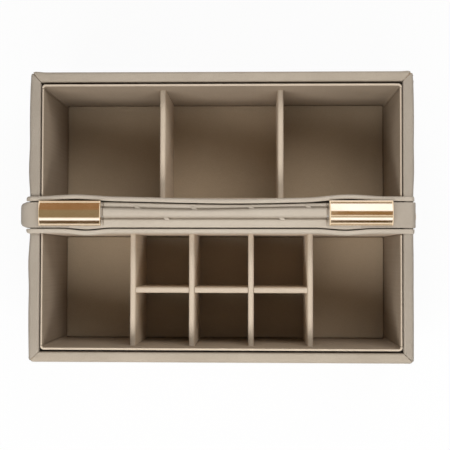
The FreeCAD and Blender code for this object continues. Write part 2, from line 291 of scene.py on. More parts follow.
# %% Helpers for nodes
def feed(socket, value):
    """Links an input to a node or to one of its outputs, or sets it. A colour has three parts."""
    if isinstance(value, bpy.types.Node):
        value = value.outputs[0]
    if isinstance(value, bpy.types.NodeSocket):
        socket.id_data.links.new(value, socket)
    else:
        socket.default_value = (*value, 1) if socket.type == "RGBA" else value


def put(tree, kind, *parts, **values):
    """Adds a node. Parts feed its inputs in order. A key feeds an input or sets a property."""
    node = tree.nodes.new("ShaderNode" + kind)
    for key, value in values.items():
        label = key.replace("_", " ")
        if label in node.inputs:
            feed(node.inputs[label], value)
        else:
            setattr(node, key, value)
    for socket, part in zip(node.inputs, parts):
        feed(socket, part)
    return node


def blank_tree(owner):
    """Empties the node tree of a material or a world."""
    owner.use_nodes = True
    owner.node_tree.nodes.clear()
    return owner.node_tree


# %% Cards for the ferrules
# The ferrules mirror the room. Long cards hang over them, one row for each ferrule, and only
# reflections see them. An angle says how far a card leans from straight up, to the rear if it is
# positive. The colour is what the card glows with.
CARD_RISE = 800
CARD_Z = 106 + CARD_RISE
LEFT, RIGHT = (-420, -130), (120, 310)
WHITE = (1.45, 1.5, 1.8)
CARDS = {
    "left_rear": (LEFT, 17, 49, (0.325, 0.2, 0.108)),
    "left_middle": (LEFT, -17, 17, (0.29, 0.245, 0.163)),
    "left_bright": (LEFT, -28.5, -20, WHITE),
    "left_dark": (LEFT, -44, -29.5, (0.13, 0.094, 0.06)),
    "left_low": (LEFT, -62, -50, (0.5, 0.45, 0.4)),
    "right_rear": (RIGHT, 12, 43, WHITE),
    "right_rear_low": (RIGHT, 43, 50, (0.28, 0.217, 0.135)),
    "right_middle": (RIGHT, -7, 10, (0.3, 0.188, 0.09)),
    "right_pale": (RIGHT, -17.5, -11, (0.46, 0.42, 0.33)),
    "right_bright": (RIGHT, -28, -17.5, WHITE),
    "right_dark": (RIGHT, -40, -29, (0.1, 0.066, 0.034)),
    "right_low": (RIGHT, -62, -46, (0.5, 0.42, 0.35)),
}
for name, ((low_x, high_x), low_angle, high_angle, colour) in CARDS.items():
    near, far = (math.tan(math.radians(angle)) * CARD_RISE for angle in (low_angle, high_angle))
    card = new_block(name + "_card", (low_x, near, CARD_Z), (high_x, far, CARD_Z + 1))
    card.visible_camera = card.visible_diffuse = card.visible_shadow = False
    paint = bpy.data.materials.new(name + "_card")
    tree = blank_tree(paint)
    put(tree, "OutputMaterial", Surface=put(tree, "Emission", Color=colour))
    card.data.materials.append(paint)

# %% Sky
SKY_LEVEL = 0.224
scene = bpy.context.scene
scene.view_settings.view_transform = "Standard"
scene.world = bpy.data.worlds.new("sky")
sky = blank_tree(scene.world)
rays = put(sky, "LightPath").outputs
seen = put(sky, "Math", rays["Is Camera Ray"], rays["Is Glossy Ray"], operation="MAXIMUM")
clear_rays = put(sky, "Math", seen, rays["Is Transmission Ray"], operation="MAXIMUM")
strength = put(sky, "MapRange", clear_rays, To_Min=SKY_LEVEL, To_Max=1.0)
put(sky, "OutputWorld", Surface=put(sky, "Background", Color=(1, 1, 1), Strength=strength))

# %% Floor
FLOOR_SIZE = 6
FLOOR_DROP = 0.2
FLOOR_GLOW = 0.93
bpy.ops.object.select_all(action="DESELECT")
bpy.ops.mesh.primitive_plane_add(size=FLOOR_SIZE, location=(0, 0, -FLOOR_DROP * MM))
floor = named("floor")
floor_finish = bpy.data.materials.new("pale_floor")
tree = blank_tree(floor_finish)
camera_ray = put(tree, "LightPath").outputs["Is Camera Ray"]
share = put(tree, "Math", camera_ray, FLOOR_GLOW, operation="MULTIPLY")
diffuse = put(tree, "BsdfDiffuse", Color=(0.9, 0.9, 0.9))
mix = put(tree, "MixShader", share, diffuse, put(tree, "Emission"))
put(tree, "OutputMaterial", Surface=mix)
floor.data.materials.append(floor_finish)

# %% [markdown]
# ## Finishes
# Every finish is made of nodes. What several finishes share is a node group: the grain of the
# leatherette, the fibres of suede and felt, and slow mottling. A group puts out only values and
# heights, and the shader itself stays in each material.


# %% Helpers for node groups
def new_group(name, inputs, outputs):
    """A node group with named numbers in and out, and a vector for the place."""
    tree = bpy.data.node_groups.new(name, "ShaderNodeTree")
    tree.interface.new_socket("Place", in_out="INPUT", socket_type="NodeSocketVector")
    for label, value in inputs.items():
        socket = tree.interface.new_socket(label, in_out="INPUT", socket_type="NodeSocketFloat")
        socket.default_value = value
    for label in outputs:
        tree.interface.new_socket(label, in_out="OUTPUT", socket_type="NodeSocketFloat")
    return tree, tree.nodes.new("NodeGroupInput").outputs, tree.nodes.new("NodeGroupOutput").inputs


def use_group(tree, group, place, **values):
    """The outputs of a group that is used at a place."""
    return put(tree, "Group", node_tree=group, Place=place, **values).outputs


# %% Group: leatherette grain
# Two sets of fine diagonal ridges cross each other, and small cells break them up.
CELLS_PER_RIDGE = 1.7
grain_group, grain_in, grain_out = new_group(
    "leatherette_grain", {"Pitch": 1.0, "Cross": 0.7, "Pebble": 0.5}, ["Height", "Pits"]
)
grain_scale = put(grain_group, "Math", 1.0, grain_in["Pitch"], operation="DIVIDE")
ridges = []
for turn in (45, -45):
    turned = put(
        grain_group, "Mapping", Vector=grain_in["Place"], Rotation=(0, 0, math.radians(turn))
    )
    wave = put(
        grain_group, "TexWave", Vector=turned, Scale=grain_scale, Distortion=1.6, Detail=2.0,
        Detail_Scale=0.6
    )
    ridges.append(wave.outputs["Fac"])
crossed = put(grain_group, "Math", *ridges, operation="MULTIPLY")
cross_part = put(grain_group, "Math", crossed, grain_in["Cross"], operation="MULTIPLY")
cell_scale = put(grain_group, "Math", grain_scale, CELLS_PER_RIDGE, operation="MULTIPLY")
cells = put(
    grain_group, "TexVoronoi", feature="DISTANCE_TO_EDGE", Vector=grain_in["Place"],
    Scale=cell_scale
)
cell_edge = put(grain_group, "MapRange", cells.outputs["Distance"], From_Max=0.12)
height = put(
    grain_group, "Math", cell_edge, grain_in["Pebble"], cross_part, operation="MULTIPLY_ADD"
)
feed(grain_out["Height"], height)
pits = put(grain_group, "MapRange", height, From_Max=0.5, To_Min=1.0, To_Max=0.0)
feed(grain_out["Pits"], pits)

# %% Group: fibres of suede and felt
# Fine noise is the nap. Coarser noise, stretched along one axis, is how the fibres lie.
FINE_SCALE, STREAK_SCALE = 2200, 900.0
STREAK_SHARE = 0.6
fibre_group, fibre_in, fibre_out = new_group(
    "short_fibres", {"Scale": 1.0, "Streak": 4.0}, ["Height", "Shade"]
)
fibre_scale = put(fibre_group, "Math", fibre_in["Scale"], FINE_SCALE, operation="MULTIPLY")
fine = put(
    fibre_group, "TexNoise", Vector=fibre_in["Place"], Scale=fibre_scale, Detail=4.0, Roughness=0.7
)
stretch = put(fibre_group, "CombineXYZ", fibre_in["Streak"], 1.0)
stretched = put(fibre_group, "VectorMath", fibre_in["Place"], stretch, operation="MULTIPLY")
streaks = put(fibre_group, "TexNoise", Vector=stretched, Scale=STREAK_SCALE, Detail=3.0)
height = put(
    fibre_group, "Math", streaks.outputs["Fac"], STREAK_SHARE, fine.outputs["Fac"],
    operation="MULTIPLY_ADD"
)
feed(fibre_out["Height"], height)
feed(fibre_out["Shade"], put(fibre_group, "MapRange", height, From_Min=0.5, From_Max=1.1))

# %% Group: slow mottling from handling
mottle_group, mottle_in, mottle_out = new_group("slow_mottling", {"Scale": 25.0}, ["Mask"])
clouds = put(
    mottle_group, "TexNoise", Vector=mottle_in["Place"], Scale=mottle_in["Scale"], Detail=5.0,
    Roughness=0.6
)
mask = put(mottle_group, "MapRange", clouds.outputs["Fac"], From_Min=0.35, From_Max=0.65)
feed(mottle_out["Mask"], mask)


# %% Helpers that mix colours and feed the shader
PIT_SHADE = (0.35, 0.3, 0.25)


def start_finish(name, roughness, metallic=0.0):
    """A new finish, with its tree, the inputs of its shader, and the places on the piece."""
    finish = bpy.data.materials.new(name)
    finish.use_nodes = True
    tree = finish.node_tree
    shader = tree.nodes["Principled BSDF"].inputs
    feed(shader["Roughness"], roughness)
    feed(shader["Metallic"], metallic)
    return finish, tree, shader, put(tree, "TexCoord").outputs


def tint(tree, share, low, high, **values):
    """A colour between two, by a share."""
    mix = put(tree, "Mix", share, data_type="RGBA", **values)
    feed(mix.inputs[6], low)
    feed(mix.inputs[7], high)
    return mix.outputs[2]


def darken(tree, colour, mask, strength):
    """Multiplies a colour down where a mask is high."""
    share = put(tree, "Math", mask, strength, operation="MULTIPLY")
    return tint(tree, share, colour, PIT_SHADE, blend_type="MULTIPLY")


def raise_by(tree, shader, height, depth, strength):
    bump = put(tree, "Bump", Height=height, Strength=strength, Distance=depth * MM)
    feed(shader["Normal"], bump)


def vary_roughness(tree, shader, mask, low, high):
    feed(shader["Roughness"], put(tree, "MapRange", mask, To_Min=low, To_Max=high))


# %% Leatherettes
def leatherette(name, low, high, pitch, cross, pebble, depth, roughness):
    finish, tree, shader, place = start_finish(name, roughness)
    on_skin = put(tree, "UVMap", uv_map="grain")
    grain = use_group(tree, grain_group, on_skin, Pitch=pitch * MM, Cross=cross, Pebble=pebble)
    mottle = use_group(tree, mottle_group, place["Object"], Scale=22.0)
    colour = tint(tree, mottle["Mask"], low, high)
    feed(shader["Base Color"], darken(tree, colour, grain["Pits"], 0.35))
    vary_roughness(tree, shader, grain["Pits"], roughness, roughness + 0.15)
    raise_by(tree, shader, grain["Height"], depth, 0.6)
    feed(shader["Specular IOR Level"], 0.4)
    return finish


cover_leatherette = leatherette(
    "cover_leatherette", (0.385, 0.325, 0.255), (0.43, 0.366, 0.29), 0.8, 0.7, 0.35, 0.12, 0.5
)
# The end covers get a darker copy of the cover leatherette: painted shade.
side_leatherette_painted_shade = leatherette(
    "side_leatherette_painted_shade", (0.345, 0.295, 0.238), (0.385, 0.332, 0.27), 0.8, 0.7, 0.35, 0.12, 0.5
)
strap_leatherette = leatherette(
    "strap_leatherette", (0.455, 0.392, 0.318), (0.49, 0.428, 0.35), 0.5, 0.15, 0.5, 0.05, 0.42
)
# The strap ends and the rest of the strap are one leather. This darker copy for the ends is painted
# shade.
end_leatherette_painted_shade = leatherette(
    "end_leatherette_painted_shade", (0.375, 0.322, 0.262), (0.405, 0.352, 0.29), 0.5, 0.15, 0.5, 0.05, 0.42
)


# %% Suede, felt, board, card
def fibrous(name, low, high, scale, streak, depth, roughness=0.95, sheen=0.0, painted_top_shading=None, up=0.2):
    """A fibrous finish. Faces that look up can take another colour: painted light where it is pale,
    painted shade where it is dark.
    """
    finish, tree, shader, place = start_finish(name, roughness)
    fibres = use_group(tree, fibre_group, place["Object"], Scale=scale, Streak=streak)
    mottle = use_group(tree, mottle_group, place["Object"], Scale=14.0)
    colour = tint(tree, mottle["Mask"], low, high)
    # Painted light and shade: faces that look up take another colour, paler on lit tops and near
    # black in a shaded gap.
    if painted_top_shading:
        apart = put(tree, "SeparateXYZ", place["Normal"]).outputs
        painted_top_mask = put(tree, "MapRange", apart["Z"], From_Min=up, From_Max=min(up + 0.4, 0.98))
        colour = tint(tree, painted_top_mask, colour, painted_top_shading)
    feed(shader["Base Color"], darken(tree, colour, fibres["Shade"], 0.3))
    raise_by(tree, shader, fibres["Height"], depth, 0.5)
    feed(shader["Sheen Weight"], sheen)
    feed(shader["Sheen Roughness"], 0.5)
    feed(shader["Specular IOR Level"], 0.2)
    return finish


lining_suede = fibrous(
    "lining_suede", (0.49, 0.39, 0.275), (0.54, 0.43, 0.305), 1.0, 3.0, 0.12, sheen=0.12
)
# The divider wraps get a paler copy of the lining suede, paler still on top: painted light.
folded_suede_painted_light = fibrous(
    "folded_suede_painted_light", (0.58, 0.455, 0.315), (0.63, 0.495, 0.345), 1.0, 3.0, 0.12, sheen=0.12,
    painted_top_shading=(0.57, 0.475, 0.37)
)
# The lining panels get a darker copy of the suede on their faces, painted shade, and pale tops,
# painted light.
wall_suede_painted_shading = fibrous(
    "wall_suede_painted_shading", (0.32, 0.257, 0.19), (0.36, 0.288, 0.216), 1.0, 3.0, 0.12,
    painted_top_shading=(0.58, 0.485, 0.38), up=0.75
)
# The spine walls get a paler copy of the suede, painted light, and a near-black top under the band,
# painted shade.
spine_suede_painted_shading = fibrous(
    "spine_suede_painted_shading", (0.60, 0.49, 0.38), (0.65, 0.53, 0.41), 1.0, 3.0, 0.12,
    painted_top_shading=(0.03, 0.024, 0.018)
)
base_felt = fibrous("base_felt", (0.13, 0.115, 0.1), (0.18, 0.16, 0.14), 0.6, 1.0, 0.3)
wall_board = fibrous("wall_board", (0.48, 0.36, 0.24), (0.58, 0.45, 0.31), 0.4, 6.0, 0.05, 0.85)
divider_card = fibrous("divider_card", (0.4, 0.37, 0.33), (0.47, 0.44, 0.4), 0.5, 5.0, 0.04, 0.9)


# %% Metals
def metal(name, low, high, roughness, scratch, streak):
    finish, tree, shader, place = start_finish(name, roughness, 1.0)
    mottle = use_group(tree, mottle_group, place["Object"], Scale=60.0)
    lines = use_group(tree, fibre_group, place["Object"], Scale=0.12, Streak=streak)
    feed(shader["Base Color"], tint(tree, mottle["Mask"], low, high))
    vary_roughness(tree, shader, lines["Shade"], roughness, roughness + 0.06)
    raise_by(tree, shader, lines["Height"], scratch, 0.15)
    return finish


polished_gold = metal("polished_gold", (0.85, 0.665, 0.455), (0.9, 0.715, 0.505), 0.07, 0.004, 0.05)
zinc_steel = metal("zinc_steel", (0.55, 0.55, 0.53), (0.66, 0.66, 0.64), 0.35, 0.02, 0.3)
finishes = dict(
    cover_leatherette=cover_leatherette, strap_leatherette=strap_leatherette,
    lining_suede=lining_suede, base_felt=base_felt, wall_board=wall_board,
    divider_card=divider_card, polished_gold=polished_gold, zinc_steel=zinc_steel,
)
print("finishes:", len(finishes))


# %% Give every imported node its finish
slots = {row["node"]: row["material_slot"] for row in frame["record"]["subparts"]}
for name, node in frame["nodes"].items():
    node.data.materials.clear()
    node.data.materials.append(finishes[slots[name]])
# The spine's front wall takes the suede with painted light and a painted shadow on its top.
frame["nodes"]["spine_front_wall"].data.materials[0] = spine_suede_painted_shading


# %% A helper that finishes a piece
def lay_grain(piece):
    """Gives a piece a map in metres, laid on it from the side that each face looks to."""
    edit(piece)
    while piece.data.uv_layers:
        piece.data.uv_layers.remove(piece.data.uv_layers[0])
    piece.data.uv_layers.new(name="grain")
    bpy.ops.mesh.select_all(action="SELECT")
    bpy.ops.uv.cube_project(cube_size=1.0, correct_aspect=False)
    done()


def dress(piece, body, slot, *nodes, angle=35, finish=None):
    """Smooths and paints a finished piece, and puts it in the place of the nodes it stands for."""
    settle(piece)
    smooth(piece, angle)
    if "leatherette" in slot:
        lay_grain(piece)
    piece.data.materials.clear()
    piece.data.materials.append(finish or finishes[slot])
    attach(piece, body)
    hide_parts(*nodes)
    print(piece.name, len(piece.data.polygons), "faces")
    return piece


# %% [markdown]
# ## Leatherette covers
# One skin of grained leatherette runs up each wall, rolls over the rim, and is glued down inside.
# At the corners two skins meet in a mitre. The skin of all four walls is drawn as one ring,
# given its thickness, and then cut along the mitres, so that the seams fit exactly.

# %% One ring of leatherette
front_low, front_high = corners("front_wall_cover")
rear_low, rear_high = corners("rear_wall_cover")
half_x, half_y = front_high.x, rear_high.y
rim_z, foot_z = front_high.z, front_low.z
spine_low, spine_high = corners("spine_rear_wall")
RIM_SWELL = 0.4
RIM_WIDTH = half_x - spine_high.x + RIM_SWELL
SKIN = 1.0
RIM_ROUND = 2.2
RIM_INNER_ROUND = 1.4
CORNER_ROUND = 3.0
TURN_IN = 18.0
TURN_UNDER = 9.0
FOOT_ROUND = 0.8
skin_ring = new_block("skin_ring", (-half_x, -half_y, foot_z), (half_x, half_y, rim_z))
edit(skin_ring)
pick("FACE", lambda middle, way: way.z > 0.99)
inset(RIM_WIDTH)
extrude(z=-TURN_IN)
bpy.ops.mesh.delete(type="FACE")
pick("FACE", lambda middle, way: way.z < -0.99)
inset(TURN_UNDER)
bpy.ops.mesh.delete(type="FACE")
pick("EDGE", lambda middle, way: abs(way.z) > 0.99 and abs(middle.x) > half_x - 0.1)
bevel(CORNER_ROUND, 6)
done()
print("ring faces:", len(skin_ring.data.polygons))


# %% Round the rim and the foot
def level_edge(z, outside):
    """A test for level edges at a height, on the outside of the case or inside of its rim."""

    def test(middle, way):
        if abs(middle.z - z) > 0.01 or abs(way.z) > 0.01:
            return False
        depth = min(half_x - abs(middle.x), half_y - abs(middle.y))
        return depth < 1.0 if outside else abs(depth - RIM_WIDTH) < 0.01

    return test


edit(skin_ring)
pick("EDGE", level_edge(rim_z, outside=True))
bevel(RIM_ROUND, 6)
pick("EDGE", level_edge(rim_z, outside=False))
bevel(RIM_INNER_ROUND, 5)
pick("EDGE", level_edge(foot_z, outside=True))
bevel(FOOT_ROUND, 3)
for side in (1, -1):
    slice_at(0, spread(side * half_x, side * (half_x - 2 * RIM_WIDTH), 7))
    slice_at(1, spread(side * half_y, side * (half_y - 2 * RIM_WIDTH), 7))
slice_at(0, spread(2 * RIM_WIDTH - half_x, half_x - 2 * RIM_WIDTH, 40))
slice_at(1, spread(2 * RIM_WIDTH - half_y, half_y - 2 * RIM_WIDTH, 30))
slice_at(2, spread(foot_z, rim_z, 9))
done()
print("ring faces:", len(skin_ring.data.polygons))


# %% Helpers for soft swellings
SKIN_ZONE = 3.3


def nearness(distance, reach):
    """One at a place, none beyond its reach, and smooth between."""
    near = max(0, 1 - abs(distance) / reach)
    return near * near * (3 - 2 * near)


def pushed(place, pushes):
    """How far a place along an edge is pushed aside."""
    return sum(push * nearness(place - middle, reach) for middle, push, reach in pushes)


def swell(piece, side, pushes):
    """Moves the outside of an end cover outwards, the most at the middle of each push."""
    places = sorted({round(corner.co.y / MM, 2) for corner in piece.data.vertices})
    edit(piece)
    for place in places:
        push = pushed(place, pushes)
        if push > 0.01:
            pick("VERT", lambda middle, way: abs(middle.y - place) < 0.006
                 and middle.x * side > half_x - SKIN_ZONE)
            shift(x=side * push)
    done()


# %% Thickness, mitres, and the four covers
# The end covers stand out a little between the strap and the corners, the left one more.
SWELLINGS = {
    "left": (-1, ((31, 1.0, 22), (68, 0.8, 50), (-31, 1.0, 22), (-68, 0.8, 50))),
    "right": (1, ((31, 0.6, 22), (68, 0.8, 50), (-31, 0.15, 22), (-68, 0.15, 50))),
}
modify(skin_ring, "SOLIDIFY", thickness=SKIN * MM, offset=-1)
MITRES = {
    "front": (((half_x, -half_y), (1, 1)), ((-half_x, -half_y), (-1, 1))),
    "rear": (((half_x, half_y), (1, -1)), ((-half_x, half_y), (-1, -1))),
    "left": (((-half_x, -half_y), (1, -1)), ((-half_x, half_y), (1, 1))),
    "right": (((half_x, -half_y), (-1, -1)), ((half_x, half_y), (-1, 1))),
}
SEAM_GAP = 0.12
SEAM_EDGE = 0.45
CORNER_ZONE = 3.2
CORNER_DEPTH = 5
# At the rear corners the skins were pulled round less evenly, so their ends stand a little apart.
PULLS = {
    "front": (),
    "rear": (((half_x, half_y), (-0.4, 0.3), 6), ((-half_x, half_y), (0.2, 0.5), 8)),
    "left": (((-half_x, half_y), (0.2, 0.2), 9),),
    "right": (((half_x, half_y), (-0.2, -0.1), 6),),
}
for side, planes in MITRES.items():
    cover = copy_of(skin_ring, side + "_cover")
    edit(cover)
    for (x, y), (along_x, along_y) in planes:
        keep_behind((x - SEAM_GAP * along_x, y - SEAM_GAP * along_y, 0), (along_x, along_y, 0))
    for (x, y), (pull_x, pull_y), reach in PULLS[side]:
        pick("VERT", lambda middle, way: abs(middle.x - x) + abs(middle.y - y) < CORNER_ZONE
             and middle.z > rim_z - CORNER_DEPTH)
        shift(x=pull_x, y=pull_y, reach=reach)
    done()
    if side in SWELLINGS:
        swell(cover, *SWELLINGS[side])
    soften(cover, SEAM_EDGE, 2)
    # The end covers take the darker copy of the leatherette, painted shade.
    finish = side_leatherette_painted_shade if side in ("left", "right") else cover_leatherette
    dress(cover, "case", "cover_leatherette", side + "_wall_cover", finish=finish)
bpy.data.objects.remove(skin_ring)

# %% [markdown]
# ## Lining panels
# Thin boards in suede stand inside the walls. Only their top edges show from above. Their suede is
# painted: pale tops as painted light, and darker faces as painted shade. They are drawn as one
# upright ring with rounded corners, and cut apart where the spine passes between.

# %% The ring of lining
liner_low, _ = corners("rear_liner_left")
_, liner_high = corners("rear_liner_back")
corner_low, _ = corners("rear_liner_back")
_, corner_high = corners("front_liner_front")
_, front_liner_high = corners("front_liner_left")
LINER = 1.5
LINER_CORNER = 2.6
LINER_EDGE = 0.7
LINER_RISE = 1.2
liner_x, liner_y = liner_high.x, liner_high.y
PLAY_LEFT, PLAY_RIGHT, PLAY_FRONT, PLAY_REAR = 0.5, 0.35, 0.25, 0.45
liner_ring = new_block(
    "liner_ring",
    (PLAY_LEFT - liner_x, PLAY_FRONT - liner_y, liner_low.z),
    (liner_x - PLAY_RIGHT, liner_y - PLAY_REAR, liner_high.z + LINER_RISE)
)
edit(liner_ring)
pick("EDGE", runs_along(2))
bevel(LINER_CORNER, 6)
pick("FACE", lambda middle, way: abs(way.z) > 0.99)
bpy.ops.mesh.delete(type="FACE")
slice_at(0, spread(-liner_x, liner_x, 40))
slice_at(1, spread(-liner_y, liner_y, 30))
done()
modify(liner_ring, "SOLIDIFY", thickness=LINER * MM, offset=-1)

# %% Six panels
# Each plane cuts away what lies in front of it: a point on it, and the way it looks.
REAR_SIDE = ((0, corner_low.y, 0), (0, 1, 0)), ((0, liner_low.y, 0), (0, -1, 0))
FRONT_SIDE = ((0, front_liner_high.y, 0), (0, 1, 0)), ((0, corner_high.y, 0), (0, -1, 0))
LEFT_HALF = (0, 0, 0), (1, 0, 0)
RIGHT_HALF = (0, 0, 0), (-1, 0, 0)
PANELS = {
    "rear_liner_back": (((0, corner_low.y, 0), (0, -1, 0)),),
    "front_liner_front": (((0, corner_high.y, 0), (0, 1, 0)),),
    "rear_liner_left": (*REAR_SIDE, LEFT_HALF),
    "rear_liner_right": (*REAR_SIDE, RIGHT_HALF),
    "front_liner_left": (*FRONT_SIDE, LEFT_HALF),
    "front_liner_right": (*FRONT_SIDE, RIGHT_HALF),
}
for node, planes in PANELS.items():
    panel = copy_of(liner_ring, node + "_panel")
    edit(panel)
    for point, normal in planes:
        keep_behind(point, normal)
    done()
    soften(panel, LINER_EDGE, 4)
    # The panels take the suede with painted shade on their faces and painted light on their tops.
    dress(panel, "case", "lining_suede", node, finish=wall_suede_painted_shading)
bpy.data.objects.remove(liner_ring)

# %% [markdown]
# ## Floor pads
# A thin board under suede lies on the floor of each bay. Its edges are rounded where the suede
# turns under.

# %% Two floor pads
PAD_CORNER = 1.5
PAD_ROUND = 0.9
for node in ("rear_floor_pad", "front_floor_pad"):
    low, high = corners(node)
    pad = new_block(node + "_suede", low, high)
    edit(pad)
    pick("EDGE", runs_along(2))
    bevel(PAD_CORNER, 4)
    pick("EDGE", lambda middle, way: middle.z > high.z - 0.01 and abs(way.z) < 0.01)
    bevel(PAD_ROUND, 3)
    slice_at(0, spread(low.x, high.x, 30))
    slice_at(1, spread(low.y, high.y, 10))
    done()
    dress(pad, "case", "lining_suede", node)

# %% [markdown]
# ## Dividers
# Card wrapped in suede. The suede is folded over the top, so the top edge is almost half round.
# The cross divider is half-lapped into the two inner dividers, which run through it at the top.

# %% Seven divider wraps
DIVIDERS = (
    "rear_divider_left", "rear_divider_right", "front_divider_outer_left",
    "front_divider_inner_left", "front_divider_inner_right", "front_divider_outer_right",
    "cross_divider",
)
WRAP_ROUND = 1.5
LAP_GAP = 0.1
inner_low, inner_high = corners("front_divider_inner_right_wrap")
cross_low, cross_high = corners("cross_divider_wrap")
lap_z = (cross_low.z + cross_high.z) / 2
for stem in DIVIDERS:
    low, high = corners(stem + "_wrap")
    along = 0 if stem == "cross_divider" else 1
    wrap = new_block(stem + "_suede", low, high)
    edit(wrap)
    pick("EDGE", lambda middle, way: middle.z > high.z - 0.01 and abs(way[along]) > 0.9)
    bevel(WRAP_ROUND, 5)
    slice_at(along, spread(low[along], high[along], 24))
    done()
    cutters = []
    if "inner" in stem:
        cutters.append(new_block(
            "notch", (low.x - 1, cross_low.y - LAP_GAP, low.z - 1),
            (high.x + 1, cross_high.y + LAP_GAP, lap_z + LAP_GAP)
        ))
    if stem == "cross_divider":
        for sign in (-1, 1):
            middle_x = sign * (inner_low.x + inner_high.x) / 2
            reach_x = (inner_high.x - inner_low.x) / 2 + LAP_GAP
            cutters.append(new_block(
                "notch", (middle_x - reach_x, low.y - 1, lap_z - LAP_GAP),
                (middle_x + reach_x, high.y + 1, high.z + 1)
            ))
    for cutter in cutters:
        modify(wrap, "BOOLEAN", operation="DIFFERENCE", object=cutter, solver="EXACT")
        bpy.data.objects.remove(cutter)
    # The wraps take the paler suede, with painted light on their sides and tops.
    dress(wrap, "case", "lining_suede", stem + "_wrap", finish=folded_suede_painted_light)

# %% [markdown]
# ## Bands on the spine
# A raised leatherette band runs along the top of each spine wall, over the rim and down outside.
# A bar is given round shoulders, and its end face is swung over the rim with spin.

# %% A helper that swings an end over the rim
band_low, band_high = corners("spine_rear_band")
BEND_X = half_x - RIM_ROUND
BEND_Z = rim_z - RIM_ROUND
BEND_STEPS = 8
TAIL_ROWS = 6


def over_the_rim(y, foot):
    """Swings the end face at the bend over the rim and draws it down to a height."""
    pick("FACE", lambda middle, way: way.x > 0.99 and middle.x > BEND_X - 0.01)
    bpy.ops.mesh.spin(
        steps=BEND_STEPS, angle=-math.pi / 2, axis=(0, 1, 0),
        center=(BEND_X * MM, y * MM, BEND_Z * MM),
    )
    for _ in range(TAIL_ROWS):
        extrude(z=-(BEND_Z - foot) / TAIL_ROWS)


def mirrored(piece, name):
    """A copy on the left side, with its faces turned outwards again."""
    twin = copy_of(piece, name)
    twin.scale = (-1, 1, 1)
    settle(twin)
    edit(twin)
    bpy.ops.mesh.select_all(action="SELECT")
    bpy.ops.mesh.normals_make_consistent(inside=False)
    done()
    return twin


# %% Helpers that bend a long edge aside
# Each push is its middle along the case, how far it goes at most, and its reach. Between the
# ferrules the rear band, its wall and the handle's edge all bow towards the front. The groove
# behind the roll bows too, a little less and further to the left.
BOW = (8, -1.7, 100)
GROOVE_BOW = (-18, -1.4, 75)


def share_of(push, part):
    """A push with only a part of its height."""
    return push[0], push[1] * part, push[2]


def bulge(places, pushes, test):
    """Moves what passes a test along Y at each place, the most at the middle of each push."""
    for place in places:
        push = pushed(place, pushes)
        if push:
            pick("VERT", lambda middle, way: abs(middle.x - place) < 0.05 and test(middle))
            shift(y=push)


# %% Two bands
# The outer shoulder of a band is rounder than the one beside the handle. The right end is pulled
# thin where it turns over the rim. Beside the ferrules the bands are pushed outwards a little.
BAND_SLACK = 0.15
OUTER_SHOULDER, INNER_SHOULDER = 1.9, 0.6
BAND_THINNING, THINNING_REACH = 1.8, 14
TAIL = 1.0
BAND = band_high.z - rim_z
BAND_ROWS = 44
MERGE = 0.02


def band_half(name, low, high, outward, thinning):
    """Half a band, from the middle to its tail. Outward is 1 at the rear and -1 in front."""
    half = new_block(name, (0, low.y, rim_z), (BEND_X, high.y, high.z))
    edit(half)
    for side, width, steps in ((outward, OUTER_SHOULDER, 6), (-outward, INNER_SHOULDER, 3)):
        pick("EDGE", lambda middle, way: abs(way.x) > 0.9 and middle.z > high.z - 0.01
             and (middle.y - (low.y + high.y) / 2) * side > 1)
        bevel(width, steps)
    slice_at(0, spread(0, BEND_X, BAND_ROWS))
    pick("VERT", lambda middle, way: middle.x > BEND_X - 0.01 and middle.z > rim_z + 0.5)
    resize(z=1 - thinning / BAND, about=(0, 0, rim_z), reach=THINNING_REACH)
    over_the_rim((low.y + high.y) / 2, low.z)
    for step in range(1, TAIL_ROWS + 1):
        level = BEND_Z + (low.z - BEND_Z) * step / TAIL_ROWS
        pick("VERT", lambda middle, way: abs(middle.z - level) < 0.01 and middle.x > half_x + 0.8)
        shift(x=(TAIL - BAND + thinning) * step / TAIL_ROWS)
    done()
    return half


BULGES = {
    "spine_rear_band": ((-100, 1.3, 28), (86, 1.5, 28), BOW),
    "spine_front_band": ((-92, -1.3, 17), (85, -1.2, 20)),
}
for node, outward in (("spine_rear_band", 1), ("spine_front_band", -1)):
    low, high = corners(node)
    if outward > 0:
        low.y += BAND_SLACK
    else:
        high.y -= BAND_SLACK
    band = band_half(node + "_leather", low, high, outward, BAND_THINNING)
    full = band_half("left_master", low, high, outward, 0.0)
    twin = mirrored(full, "left_half")
    bpy.data.objects.remove(full)
    unite(band, twin)
    edit(band)
    pick("FACE", lambda middle, way: abs(middle.x) < 0.01)
    bpy.ops.mesh.delete(type="FACE")
    bpy.ops.mesh.select_all(action="SELECT")
    bpy.ops.mesh.remove_doubles(threshold=MERGE * MM)
    bpy.ops.mesh.normals_make_consistent(inside=False)
    rows = [0, *(sign * place for sign in (-1, 1) for place in spread(0, BEND_X, BAND_ROWS))]
    bulge(rows, BULGES[node], lambda middle: True)
    done()
    dress(band, "case", "strap_leatherette", node)

# %% The wall under the rear band
# It stands straight up to the tops of the dividers, and leans with its band above them. Its suede
# is painted: paler as painted light, and near black on top as painted shade under the band.
LEAN_FROM = 82
low, high = corners("spine_rear_wall")
wall = new_block("spine_rear_wall_suede", low, high)
edit(wall)
wall_rows = spread(low.x, high.x, 40)
slice_at(0, wall_rows)
levels = [LEAN_FROM, *spread(LEAN_FROM, high.z, 4), high.z]
slice_at(2, levels[:-1])
for level in levels:
    push = share_of(BOW, (level - LEAN_FROM) / (high.z - LEAN_FROM))
    bulge(wall_rows, (push,), lambda middle: abs(middle.z - level) < 0.01)
done()
dress(wall, "case", slots["spine_rear_wall"], "spine_rear_wall", finish=spine_suede_painted_shading)

# %% [markdown]
# ## Strap handle
# The handle is a flat strap: one end at each side that goes over the rim, and a grip between them.
# The straps slide on studs, so their lower ends are slotted.

